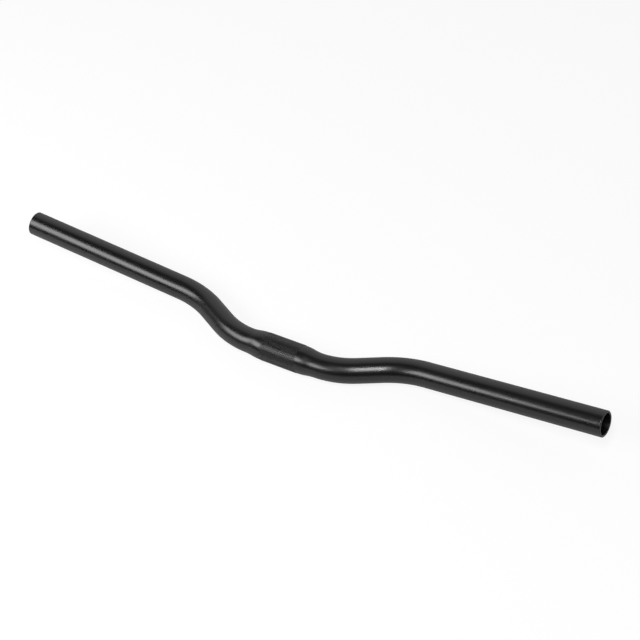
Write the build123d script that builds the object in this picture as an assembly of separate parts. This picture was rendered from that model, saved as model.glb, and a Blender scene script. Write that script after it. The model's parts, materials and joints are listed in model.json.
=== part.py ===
from build123d import *
import os
from math import cos, radians, sin, sqrt

# Riser handlebar for a bicycle: one hollow alloy tube, swaged at the middle, bent twice on each
# side and open at both ends, with a diamond knurl rolled on the band that the stem clamps.
# Millimetres and degrees. The bar lies on a flat surface the way it comes to rest there:
# X runs along the bar, Y is the way it rises, and Z is up from the surface.
# The origin is on the tube's axis at the middle of the clamp band.

# Overall width, between the middles of the two open ends
overall_width = 580.0

# Tube at the grips, with a small chamfer outside and inside each open end
grip_diameter = 22.2
grip_wall = 2.0
end_chamfer = 0.6
bore_chamfer = 0.4

# Full-size stretch in the middle, and the swaged taper on each side of it, down to the grip's size
clamp_diameter = 25.4
clamp_wall = 2.6
clamp_length = 46.0
taper_length = 9.2
# How far the taper's rounded corners reach along the tube, to each side of the corner
taper_blend = 1.3

# Bends and the runs between them, the same on both sides, with the radius on the tube's axis
bend_radius = 78.0
rise_angle = 27.25
riser_length = 22.0
back_sweep = 7.75
up_sweep = -1.0

# Knurl: rows of four-sided points across the clamp band, each row half a pitch round from the last,
# with the number of rows along the band and the number of points round each row
knurl_length = 37.0
knurl_rows = 25
knurl_starts = 40
# How far the rolling raises the points over the plain tube, and sinks the grooves under it
knurl_height = 0.08
knurl_depth = 0.32

# How far a blank reaches past the faces that trim it
overshoot = 1.0

# Where the search for the angle of rest starts, and how closely it ends
steepest_lie = 30.0
lie_tolerance = 1e-6

grip_radius = grip_diameter / 2
bore_radius = grip_radius - grip_wall
clamp_radius = clamp_diameter / 2
clamp_bore_radius = clamp_radius - clamp_wall
crest_radius = clamp_radius + knurl_height
groove_radius = clamp_radius - knurl_depth
knurl_edge = knurl_length / 2
taper_start = clamp_length / 2
taper_end = taper_start + taper_length
first_bend = taper_end + taper_blend

# Directions of the +X side's straight runs, before the bar is laid down
along_clamp = Vector(1, 0, 0)
along_riser = Vector(cos(radians(rise_angle)), sin(radians(rise_angle)), 0)
grip_flat = cos(radians(back_sweep))
along_grip = Vector(
    grip_flat * cos(radians(up_sweep)),
    grip_flat * sin(radians(up_sweep)),
    sin(radians(back_sweep)),
)


def bend_normal(before, after):
    """Direction of the line that a bend turns about."""
    return before.cross(after).normalized()


def bend_centre(start, before, after):
    """Middle of the arc that leaves the start tangent to the run before it."""
    return start + bend_normal(before, after).cross(before) * bend_radius


def bend_end(start, before, after):
    """Point where a bend hands over to the run after it."""
    return bend_centre(start, before, after) - bend_normal(before, after).cross(after) * bend_radius


# Points where the +X side's runs start and end
inner_bend_start = along_clamp * first_bend
riser_start = bend_end(inner_bend_start, along_clamp, along_riser)
riser_end = riser_start + along_riser * riser_length
grip_start = bend_end(riser_end, along_riser, along_grip)
grip_length = (overall_width / 2 - grip_start.X) / along_grip.X


def straight_rod(start, along, length, radius):
    """Round rod for one straight run."""
    section = Plane(origin=start, z_dir=along) * Circle(radius)
    return extrude(section, amount=length)


def bent_rod(start, before, after, radius):
    """Round rod for one bend."""
    section = Plane(origin=start, z_dir=before) * Circle(radius)
    turning_line = Axis(bend_centre(start, before, after), bend_normal(before, after))
    return revolve(section, axis=turning_line, revolution_arc=before.get_angle(after))


def swaged_outside():
    """Rod from the knurl's edge to the first bend, with its taper's corners rounded."""
    along_taper = Vector(taper_length, grip_radius - clamp_radius).normalized()
    upper_corner = Vector(taper_start, clamp_radius)
    lower_corner = Vector(taper_end, grip_radius)
    flat = Vector(1, 0)
    upper_blend = TangentArc(
        upper_corner - flat * taper_blend, upper_corner + along_taper * taper_blend, tangent=flat
    )
    lower_blend = TangentArc(
        lower_corner - along_taper * taper_blend, lower_corner + flat * taper_blend, tangent=along_taper
    )
    profile = Line((knurl_edge, clamp_radius), upper_blend @ 0) + upper_blend
    profile += Line(upper_blend @ 1, lower_blend @ 0) + lower_blend
    profile += Polyline(lower_blend @ 1, (first_bend, 0), (knurl_edge, 0), (knurl_edge, clamp_radius))
    return revolve(make_face(profile.edges()), axis=Axis.X)


def swaged_bore():
    """The hollow from the knurl's edge to the first bend."""
    profile = Polyline(
        (knurl_edge, 0),
        (knurl_edge, clamp_bore_radius),
        (taper_start, clamp_bore_radius),
        (taper_end, bore_radius),
        (first_bend, bore_radius),
        (first_bend, 0),
        close=True,
    )
    return revolve(make_face(profile.edges()), axis=Axis.X)


def bent_side(middle, radius, extra):
    """The swaged middle with the bends and runs beyond it, to the bar's +X end and a little past it."""
    return (
        middle
        + bent_rod(inner_bend_start, along_clamp, along_riser, radius)
        + straight_rod(riser_start, along_riser, riser_length, radius)
        + bent_rod(riser_end, along_riser, along_grip, radius)
        + straight_rod(grip_start, along_grip, grip_length + extra, radius)
    )


def end_edges(side, radius):
    """The circle of that radius at the open end."""
    circles = side.edges().filter_by(GeomType.CIRCLE)
    at_end = [c for c in circles if abs(c.arc_center.X - overall_width / 2) < grip_wall / 4]
    return [c for c in at_end if abs(c.radius - radius) < grip_wall / 4]


def plain_side():
    """The hollow +X side of the bar, from the knurl's edge to its open end."""
    outside = bent_side(swaged_outside(), grip_radius, 0)
    inside = bent_side(swaged_bore(), bore_radius, overshoot)
    side = outside - inside
    side = chamfer(end_edges(side, grip_radius), end_chamfer)
    return chamfer(end_edges(side, bore_radius), bore_chamfer)


def knurl_point(row, step, radius):
    """Point of the knurl's grid: rows run along the band, and two steps round it are one pitch."""
    turn = radians(180 * step / knurl_starts)
    place = (row / (knurl_rows + 1) - 0.5) * knurl_length
    return Vector(place, radius * sin(turn), radius * cos(turn))


def triangle(*points):
    """Flat three-sided face."""
    return Face(Wire.make_polygon(points))


def knurled_rod():
    """Rod as long as the knurl: its points stand between crossing grooves, out of two flat ends."""
    faces = []
    for row in range(1, knurl_rows + 1):
        for step in range(row + 1, row + 1 + 2 * knurl_starts, 2):
            crest = knurl_point(row, step, crest_radius)
            left = knurl_point(row - 1, step, groove_radius)
            front = knurl_point(row, step + 1, groove_radius)
            right = knurl_point(row + 1, step, groove_radius)
            back = knurl_point(row, step - 1, groove_radius)
            faces += [
                triangle(crest, left, front),
                triangle(crest, front, right),
                triangle(crest, right, back),
                triangle(crest, back, left),
            ]
    for row, next_row in ((0, 1), (knurl_rows + 1, knurl_rows)):
        steps = range(row, row + 2 * knurl_starts, 2)
        faces.append(Face(Wire.make_polygon(knurl_point(row, step, groove_radius) for step in steps)))
        for step in steps:
            faces.append(
                triangle(
                    knurl_point(row, step, groove_radius),
                    knurl_point(row, step + 2, groove_radius),
                    knurl_point(next_row, step + 1, groove_radius),
                )
            )
    return Solid(Shell(faces))


def gap_when_laid(lie):
    """Gap between the surface that the clamp band touches and an outer bend's underside."""
    up = Vector(0, -sin(radians(lie)), cos(radians(lie)))
    reach = bend_radius * sqrt(1 - up.dot(bend_normal(along_riser, along_grip)) ** 2)
    lowest = up.dot(bend_centre(riser_end, along_riser, along_grip)) - reach - grip_radius
    return lowest + crest_radius


def angle_of_rest():
    """How far the bar tips about X until both outer bends touch the surface."""
    low = 0.0
    high = steepest_lie
    while high - low > lie_tolerance:
        middle = (low + high) / 2
        if gap_when_laid(middle) > 0:
            low = middle
        else:
            high = middle
    return low


lie_angle = angle_of_rest()
right_side = plain_side()
knurled_band = knurled_rod() - Rot(0, 90, 0) * Cylinder(clamp_bore_radius, knurl_length)
tube = right_side + knurled_band + mirror(right_side, about=Plane.YZ)
handlebar = Rot(-lie_angle, 0, 0) * tube

os.makedirs("parts", exist_ok=True)
export_step(handlebar, "parts/handlebar_tube.step")

# Sizes that follow from the ones at the top
laid_grip_start = grip_start.rotate(Axis.X, -lie_angle)
laid_along_grip = along_grip.rotate(Axis.X, -lie_angle)
print("angle of rest", lie_angle)
print("grip run starts at", laid_grip_start, "along", laid_along_grip, "for", grip_length)
print("volume", handlebar.volume)
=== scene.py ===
import json
import math

import bpy
from mathutils import Matrix, Vector


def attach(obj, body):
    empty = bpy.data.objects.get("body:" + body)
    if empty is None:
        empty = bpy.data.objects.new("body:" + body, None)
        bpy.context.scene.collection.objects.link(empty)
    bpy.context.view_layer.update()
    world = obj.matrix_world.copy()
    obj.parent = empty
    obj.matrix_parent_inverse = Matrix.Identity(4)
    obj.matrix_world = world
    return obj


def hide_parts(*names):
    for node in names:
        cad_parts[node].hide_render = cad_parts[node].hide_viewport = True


# Riser handlebar in satin black powder coat, lying on a white floor.
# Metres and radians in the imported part's own frame: X along the bar, Z up from the floor.

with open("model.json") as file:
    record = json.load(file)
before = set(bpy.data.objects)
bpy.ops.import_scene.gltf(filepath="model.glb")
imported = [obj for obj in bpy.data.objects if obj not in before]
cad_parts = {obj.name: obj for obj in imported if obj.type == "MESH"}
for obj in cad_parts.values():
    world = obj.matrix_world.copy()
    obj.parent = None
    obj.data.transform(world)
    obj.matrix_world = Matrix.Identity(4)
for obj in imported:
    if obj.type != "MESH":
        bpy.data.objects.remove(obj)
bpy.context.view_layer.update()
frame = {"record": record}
bpy.context.scene.view_settings.view_transform = "Standard"

MM = 0.001
mounts = {mount["name"]: mount for mount in frame["record"]["mounts"]}

# Radii of the tube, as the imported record's mounts state them
clamp_radius = mounts["stem_clamp"]["dims"]["r_mm"] * MM
grip_radius = mounts["right_grip"]["dims"]["r_mm"] * MM
bore_radius = mounts["right_end_bore"]["dims"]["r_mm"] * MM
clamp_bore_radius = 10.1 * MM

# Half of the bar, from its middle outwards
overall_width = 580 * MM
taper_start = 23 * MM
taper_end = 32.2 * MM
# How far the swage's soft corners reach along the tube
taper_blend = 4.4 * MM
first_bend = 33.5 * MM
bend_radius = 78 * MM
rise_angle = math.radians(27.25)
riser_length = 22 * MM
back_sweep = math.radians(7.75)
up_sweep = math.radians(-1)
end_chamfer = 0.6 * MM
bore_chamfer = 0.4 * MM
# Radius that the coat leaves on the chamfers' corners
coat_rounding = 0.15 * MM

# Knurl: rows along the band, points round it, and the radii of its lands, shoulders and grooves
knurl_edge = 18.5 * MM
knurl_rows = 25
knurl_starts = 40
land_radius = 12.95 * MM
shoulder_radius = 12.89 * MM
groove_radius = 12.65 * MM
# How far a point's flat land and then the coat's soft shoulder reach on the way to the groove
land_share = 0.6
shoulder_share = 0.8

# Fineness of the mesh
cells_per_step = 5
knurl_points = 2 * knurl_starts * cells_per_step
plain_points = knurl_points // 2
bend_rings = 16
bore_bend_rings = 8
blend_rings = 8
rounding_rings = 3
sharp_angle = math.radians(18)

# The camera's view, in degrees and metres, with the point of the CAD frame that it aims at
camera_azimuth = 40.8376
camera_elevation = 50.0348
camera_roll = -14.1412
camera_distance = 1337 * MM
camera_aim = Vector((11.718, 44.510, 0)) * MM

# The studio: the dark part lies towards a direction, and starts at a cosine from it
studio_dark_azimuth = -12.4
studio_dark_elevation = 52.7
studio_edge = 0.46
studio_fade = 0.46
studio_bright = 0.64
studio_dark = 0.01
studio_seen = 0.88

# The floor: its paint's tone in the studio's light and to the eye, and its glow's shares
floor_tone = 0.55
floor_tone_seen = 0.92
floor_glow_seen = 0.84
floor_glow_mirrored = 0.15
floor_size = 40

# Directions of the +X side's runs before the bar is laid down
along_clamp = Vector((1, 0, 0))
along_riser = Vector((math.cos(rise_angle), math.sin(rise_angle), 0))
along_grip = Vector((
    math.cos(back_sweep) * math.cos(up_sweep),
    math.cos(back_sweep) * math.sin(up_sweep),
    math.sin(back_sweep),
))

# How the bar is turned about X to lie on the floor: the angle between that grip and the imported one
packed_grip = Vector(mounts["right_grip"]["axis"])
lie_turn = math.atan2(packed_grip.z, packed_grip.y) - math.atan2(along_grip.z, along_grip.y)
laid = Matrix.Rotation(lie_turn, 3, "X")


def run_of(start, direction, length):
    """A straight run of the tube's axis."""
    return {"start": start, "before": direction, "length": length, "normal": None}


def bend_of(start, before, after):
    """A bend of the tube's axis."""
    return {
        "start": start,
        "before": before,
        "length": bend_radius * before.angle(after),
        "normal": before.cross(after).normalized(),
    }


def point_on(run, distance):
    """Point and direction of the axis at a distance from the start of a run or bend."""
    if run["normal"] is None:
        return run["start"] + run["before"] * distance, run["before"]
    turn = Matrix.Rotation(distance / bend_radius, 3, run["normal"])
    inward = run["normal"].cross(run["before"])
    centre = run["start"] + inward * bend_radius
    return centre - turn @ inward * bend_radius, turn @ run["before"]


# Runs and bends of the +X side, from the middle outwards
clamp_run = run_of(Vector((0, 0, 0)), along_clamp, first_bend)
inner_bend = bend_of(point_on(clamp_run, first_bend)[0], along_clamp, along_riser)
riser_run = run_of(point_on(inner_bend, inner_bend["length"])[0], along_riser, riser_length)
outer_bend = bend_of(point_on(riser_run, riser_length)[0], along_riser, along_grip)
grip_start = point_on(outer_bend, outer_bend["length"])[0]
grip_run = run_of(grip_start, along_grip, (overall_width / 2 - grip_start.x) / along_grip.x)
side_runs = [clamp_run, inner_bend, riser_run, outer_bend, grip_run]
half_length = sum(run["length"] for run in side_runs)


def axis_point(distance):
    """Point and direction of the axis at a distance from the bar's middle, on the +X side."""
    for run in side_runs:
        if distance <= run["length"] or run is grip_run:
            return point_on(run, distance)
        distance -= run["length"]


def ring(distance, count, radius_at):
    """One ring of points round the axis; a distance under zero is on the -X side."""
    centre, direction = axis_point(abs(distance))
    up = (Vector((0, 0, 1)) - direction * direction.z).normalized()
    side = direction.cross(up)
    mirror_x = -1 if distance < 0 else 1
    points = []
    for i in range(count):
        angle = 2 * math.pi * i / count
        point = centre + (up * math.cos(angle) + side * math.sin(angle)) * radius_at(i)
        points.append(laid @ Vector((point.x * mirror_x, point.y, point.z)))
    return points


def nearest_odd(value):
    """The odd number nearest to a value."""
    return 2 * math.floor(value / 2) + 1


def knurl_radius(row, i):
    """Radius of the knurled band at a place in rows from its -X edge and at a ring's point."""
    step = i / cells_per_step
    one_way = nearest_odd(row + step)
    other_way = nearest_odd(row - step)
    # Points would stand half over the band's edges there, so those are left out
    if not 0 < one_way + other_way < 2 * (knurl_rows + 1):
        return groove_radius
    from_crest = max(abs(row + step - one_way), abs(row - step - other_way))
    if from_crest <= land_share:
        return land_radius
    if from_crest <= shoulder_share:
        down = (from_crest - land_share) / (shoulder_share - land_share)
        return land_radius + (shoulder_radius - land_radius) * down
    down = (from_crest - shoulder_share) / (1 - shoulder_share)
    return shoulder_radius + (groove_radius - shoulder_radius) * down


def steps_between(first, last, count):
    """Evenly spaced values after the first, up to and with the last."""
    return [first + (last - first) * (k + 1) / count for k in range(count)]


def rounded_corner(corner, before, after, reach, count):
    """Points of the curve that rounds a profile's corner, tangent to its directions before and after."""
    start = corner - before * reach
    end = corner + after * reach
    points = [start]
    for share in steps_between(0, 1, count):
        points.append(start * (1 - share) ** 2 + corner * 2 * share * (1 - share) + end * share ** 2)
    return points


def outside_profile():
    """Distance and radius of each plain ring, from the knurl's edge to inside the open end."""
    profile = [Vector((knurl_edge, clamp_radius))]
    upper = Vector((taper_start, clamp_radius))
    lower = Vector((taper_end, grip_radius))
    flat = Vector((1, 0))
    along_taper = (lower - upper).normalized()
    profile += rounded_corner(upper, flat, along_taper, taper_blend, blend_rings)
    profile += rounded_corner(lower, along_taper, flat, taper_blend, blend_rings)
    reached = first_bend
    for run in (inner_bend, riser_run, outer_bend):
        count = bend_rings if run["normal"] else 1
        for distance in steps_between(reached, reached + run["length"], count):
            # The swage's last soft corner reaches past the bend's first ring
            if distance > profile[-1].x:
                profile.append(Vector((distance, grip_radius)))
        reached += run["length"]
    corners = [
        Vector((reached, grip_radius)),
        Vector((half_length - end_chamfer, grip_radius)),
        Vector((half_length, grip_radius - end_chamfer)),
        Vector((half_length, bore_radius + bore_chamfer)),
        Vector((half_length - bore_chamfer, bore_radius)),
        Vector((reached, bore_radius)),
    ]
    for last, corner, following in zip(corners, corners[1:], corners[2:]):
        before = (corner - last).normalized()
        after = (following - corner).normalized()
        profile += rounded_corner(corner, before, after, coat_rounding, rounding_rings)
    return profile


def bore_profile():
    """Distance and radius of each ring of the hollow, from its middle to the outer bend's end."""
    profile = [Vector((0, clamp_bore_radius)), Vector((taper_start, clamp_bore_radius))]
    profile.append(Vector((taper_end, bore_radius)))
    reached = first_bend
    profile.append(Vector((reached, bore_radius)))
    for run in (inner_bend, riser_run, outer_bend):
        count = bore_bend_rings if run["normal"] else 1
        for distance in steps_between(reached, reached + run["length"], count):
            profile.append(Vector((distance, bore_radius)))
        reached += run["length"]
    return profile


def plain_ring(distance, radius):
    """A ring of one radius."""
    return ring(distance, plain_points, lambda i: radius)


def plain_faces(a, b):
    """Faces between two rings of vertex numbers, where one may have twice the other's points."""
    faces = []
    if len(a) == len(b):
        for i in range(len(a)):
            faces.append((a[i - 1], a[i], b[i], b[i - 1]))
    elif len(a) > len(b):
        for i in range(len(b)):
            middle = a[2 * i - 1]
            faces += [(a[2 * i - 2], middle, b[i - 1]), (middle, b[i], b[i - 1]), (middle, a[2 * i], b[i])]
    else:
        for i in range(len(a)):
            middle = b[2 * i - 1]
            faces += [(a[i - 1], middle, b[2 * i - 2]), (a[i - 1], a[i], middle), (a[i], b[2 * i], middle)]
    return faces


def knurl_faces(a, b, k):
    """Faces between two rings of the knurl, each cell cut along the side of the point that it lies on."""
    faces = []
    row = (k + 0.5) / cells_per_step
    for i in range(len(a)):
        j = (i + 1) % len(a)
        step = (i + 0.5) / cells_per_step
        one_way = abs(row + step - nearest_odd(row + step))
        other_way = abs(row - step - nearest_odd(row - step))
        if one_way > other_way:
            faces += [(a[i], a[j], b[i]), (a[j], b[j], b[i])]
        else:
            faces += [(a[i], a[j], b[j]), (a[i], b[j], b[i])]
    return faces


def build_tube():
    """The whole bar as one closed mesh: knurl, outside, ends and bore."""
    knurl_rings = []
    cells = (knurl_rows + 1) * cells_per_step
    for k in range(cells + 1):
        row = k / cells_per_step
        distance = (2 * k / cells - 1) * knurl_edge
        knurl_rings.append(ring(distance, knurl_points, lambda i: knurl_radius(row, i)))
    outside = outside_profile()
    bore = bore_profile()
    right = [plain_ring(p.x, p.y) for p in outside + bore[:0:-1]]
    left = [plain_ring(-p.x, p.y) for p in outside + bore[:0:-1]]
    middle = plain_ring(bore[0].x, bore[0].y)
    # Rings in the order of the closed section: along the knurl, out to the +X end, back through the bore
    rings = knurl_rings + right + [middle] + left[::-1]
    verts = []
    numbers = []
    for points in rings:
        numbers.append(range(len(verts), len(verts) + len(points)))
        verts += points
    faces = []
    for k in range(len(rings)):
        following = numbers[(k + 1) % len(rings)]
        if k < cells:
            faces += knurl_faces(numbers[k], following, k)
        else:
            faces += plain_faces(numbers[k], following)
    mesh = bpy.data.meshes.new("handlebar")
    mesh.from_pydata(verts, [], faces)
    mesh.polygons.foreach_set("use_smooth", [True] * len(mesh.polygons))
    mesh.set_sharp_from_angle(angle=sharp_angle)
    mesh.validate()
    tube = bpy.data.objects.new("handlebar", mesh)
    bpy.context.scene.collection.objects.link(tube)
    return tube


def new_material(name):
    """An empty node material with its output node."""
    material = bpy.data.materials.new(name)
    material.use_nodes = True
    nodes = material.node_tree.nodes
    nodes.clear()
    return material, nodes, material.node_tree.links, nodes.new("ShaderNodeOutputMaterial")


def noise(nodes, links, place, scale, detail):
    """A noise texture on the object's own coordinates."""
    texture = nodes.new("ShaderNodeTexNoise")
    texture.inputs["Scale"].default_value = scale
    texture.inputs["Detail"].default_value = detail
    links.new(place.outputs["Object"], texture.inputs["Vector"])
    return texture


def remap(nodes, links, value, low, high):
    """Spreads the middle of a noise over a range."""
    spread = nodes.new("ShaderNodeMapRange")
    spread.inputs["From Min"].default_value = 0.3
    spread.inputs["From Max"].default_value = 0.7
    spread.inputs["To Min"].default_value = low
    spread.inputs["To Max"].default_value = high
    links.new(value, spread.inputs["Value"])
    return spread.outputs["Result"]


def powder_coat():
    """Satin black powder coat: fine grain in its relief, and slight unevenness in tone and gloss."""
    material, nodes, links, output = new_material("powder_coat")
    coat = nodes.new("ShaderNodeBsdfPrincipled")
    coat.inputs["IOR"].default_value = 1.6
    place = nodes.new("ShaderNodeTexCoord")
    clouds = noise(nodes, links, place, 60, 3)
    grain = noise(nodes, links, place, 1900, 2)
    ripple = noise(nodes, links, place, 420, 2)
    tone = nodes.new("ShaderNodeMix")
    tone.data_type = "RGBA"
    tone.inputs["A"].default_value = (0.0025, 0.0025, 0.0026, 1)
    tone.inputs["B"].default_value = (0.0045, 0.0045, 0.0047, 1)
    links.new(remap(nodes, links, grain.outputs["Fac"], 0, 1), tone.inputs["Factor"])
    links.new(tone.outputs["Result"], coat.inputs["Base Color"])
    links.new(remap(nodes, links, clouds.outputs["Fac"], 0.26, 0.30), coat.inputs["Roughness"])
    # The coat's grain shadows itself where it is seen at a flat angle, which takes off its shine there
    flatness = nodes.new("ShaderNodeLayerWeight")
    flatness.inputs["Blend"].default_value = 0.5
    shine = nodes.new("ShaderNodeMapRange")
    shine.inputs["From Min"].default_value = 0.5
    shine.inputs["From Max"].default_value = 0.85
    shine.inputs["To Min"].default_value = 0.5
    shine.inputs["To Max"].default_value = 0
    links.new(flatness.outputs["Facing"], shine.inputs["Value"])
    links.new(shine.outputs["Result"], coat.inputs["Specular IOR Level"])
    coarse = nodes.new("ShaderNodeBump")
    coarse.inputs["Strength"].default_value = 0.06
    coarse.inputs["Distance"].default_value = 0.05 * MM
    links.new(ripple.outputs["Fac"], coarse.inputs["Height"])
    fine = nodes.new("ShaderNodeBump")
    fine.inputs["Strength"].default_value = 0.4
    fine.inputs["Distance"].default_value = 0.03 * MM
    links.new(grain.outputs["Fac"], fine.inputs["Height"])
    links.new(coarse.outputs["Normal"], fine.inputs["Normal"])
    links.new(fine.outputs["Normal"], coat.inputs["Normal"])
    links.new(coat.outputs["BSDF"], output.inputs["Surface"])
    return material


def white_floor():
    """White floor whose glow keeps it white to the eye, under the bar's faint shadow."""
    material, nodes, links, output = new_material("white_floor")
    paint = nodes.new("ShaderNodeBsdfDiffuse")
    rays = nodes.new("ShaderNodeLightPath")
    tone = nodes.new("ShaderNodeMix")
    tone.inputs["A"].default_value = floor_tone
    tone.inputs["B"].default_value = floor_tone_seen
    links.new(rays.outputs["Is Camera Ray"], tone.inputs["Factor"])
    links.new(tone.outputs["Result"], paint.inputs["Color"])
    glow = nodes.new("ShaderNodeEmission")
    glow.inputs["Strength"].default_value = 1
    total = None
    for name, share in (
        ("Is Camera Ray", floor_glow_seen),
        ("Is Glossy Ray", floor_glow_mirrored),
        ("Is Transmission Ray", floor_glow_mirrored),
    ):
        part = nodes.new("ShaderNodeMath")
        part.operation = "MULTIPLY_ADD"
        part.inputs[1].default_value = share
        part.inputs[2].default_value = 0
        links.new(rays.outputs[name], part.inputs[0])
        if total:
            links.new(total, part.inputs[2])
        total = part.outputs["Value"]
    blend = nodes.new("ShaderNodeMixShader")
    links.new(total, blend.inputs["Fac"])
    links.new(paint.outputs["BSDF"], blend.inputs[1])
    links.new(glow.outputs["Emission"], blend.inputs[2])
    links.new(blend.outputs["Shader"], output.inputs["Surface"])
    return material


def direction(azimuth, elevation):
    """Unit vector from the bar towards a place in the studio; azimuth 0 is in front, along -Y."""
    azimuth = math.radians(azimuth)
    elevation = math.radians(elevation)
    flat = math.cos(elevation)
    return Vector((math.sin(azimuth) * flat, -math.cos(azimuth) * flat, math.sin(elevation)))


def softbox(name, place, distance, back, roll, width, height, power):
    """An area lamp at a place's azimuth and elevation, with its back turned to another direction."""
    lamp = bpy.data.lights.new(name, "AREA")
    lamp.shape = "RECTANGLE"
    lamp.size = width
    lamp.size_y = height
    lamp.energy = power
    holder = bpy.data.objects.new(name, lamp)
    holder.location = direction(*place) * distance
    level = direction(*back).to_track_quat("Z", "Y").to_matrix()
    holder.rotation_euler = (level @ Matrix.Rotation(math.radians(roll), 3, "Z")).to_euler()
    bpy.context.scene.collection.objects.link(holder)


def studio_world():
    """A pale studio that is bright low down and behind the bar, and dark overhead and in front."""
    world = bpy.data.worlds.new("studio")
    bpy.context.scene.world = world
    world.use_nodes = True
    nodes = world.node_tree.nodes
    links = world.node_tree.links
    nodes.clear()
    output = nodes.new("ShaderNodeOutputWorld")
    background = nodes.new("ShaderNodeBackground")
    place = nodes.new("ShaderNodeTexCoord")
    height = nodes.new("ShaderNodeVectorMath")
    height.operation = "DOT_PRODUCT"
    height.inputs[1].default_value = direction(studio_dark_azimuth, studio_dark_elevation)
    ramp = nodes.new("ShaderNodeMapRange")
    ramp.interpolation_type = "SMOOTHSTEP"
    ramp.inputs["From Min"].default_value = studio_edge - studio_fade / 2
    ramp.inputs["From Max"].default_value = studio_edge + studio_fade / 2
    ramp.inputs["To Min"].default_value = studio_bright
    ramp.inputs["To Max"].default_value = studio_dark
    links.new(place.outputs["Generated"], height.inputs[0])
    links.new(height.outputs["Value"], ramp.inputs["Value"])
    # The eye sees the studio above the floor as pale as the far floor
    rays = nodes.new("ShaderNodeLightPath")
    seen = nodes.new("ShaderNodeMix")
    seen.inputs["B"].default_value = studio_seen
    links.new(rays.outputs["Is Camera Ray"], seen.inputs["Factor"])
    links.new(ramp.outputs["Result"], seen.inputs["A"])
    links.new(seen.outputs["Result"], background.inputs["Color"])
    links.new(background.outputs["Background"], output.inputs["Surface"])


def photo_camera():
    """The photograph's camera: a long lens that looks down at the bar, a little tilted."""
    lens = bpy.data.cameras.new("camera")
    lens.lens = 85
    lens.sensor_width = 36
    holder = bpy.data.objects.new("camera", lens)
    back = direction(camera_azimuth, camera_elevation)
    holder.location = camera_aim + back * camera_distance
    level = back.to_track_quat("Z", "Y").to_matrix()
    roll = Matrix.Rotation(math.radians(camera_roll), 3, "Z")
    holder.rotation_euler = (level @ roll).to_euler()
    bpy.context.scene.collection.objects.link(holder)
    bpy.context.scene.camera = holder


photo_camera()
studio_world()
softbox(
    "key_lamp", place=(-45.8, 35.7), distance=1.2,
    back=(108.8, 84.3), roll=41.7, width=0.75, height=0.9, power=12.4,
)
softbox(
    "top_lamp", place=(35.6, 62.5), distance=1.78,
    back=(35.6, 62.5), roll=0, width=0.3, height=0.79, power=17.9,
)
softbox(
    "edge_lamp", place=(-18, 41), distance=1.3,
    back=(-18, 41), roll=0, width=0.25, height=0.25, power=1.3,
)

tube = build_tube()
tube.data.materials.append(powder_coat())
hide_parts("handlebar_tube")
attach(tube, "root")

lowest = min(vertex.co.z for vertex in tube.data.vertices)
floor_mesh = bpy.data.meshes.new("floor")
half = floor_size / 2
floor_mesh.from_pydata(
    [(-half, -half, lowest), (half, -half, lowest), (half, half, lowest), (-half, half, lowest)],
    [],
    [(0, 1, 2, 3)],
)
floor_mesh.materials.append(white_floor())
floor = bpy.data.objects.new("floor", floor_mesh)
bpy.context.scene.collection.objects.link(floor)
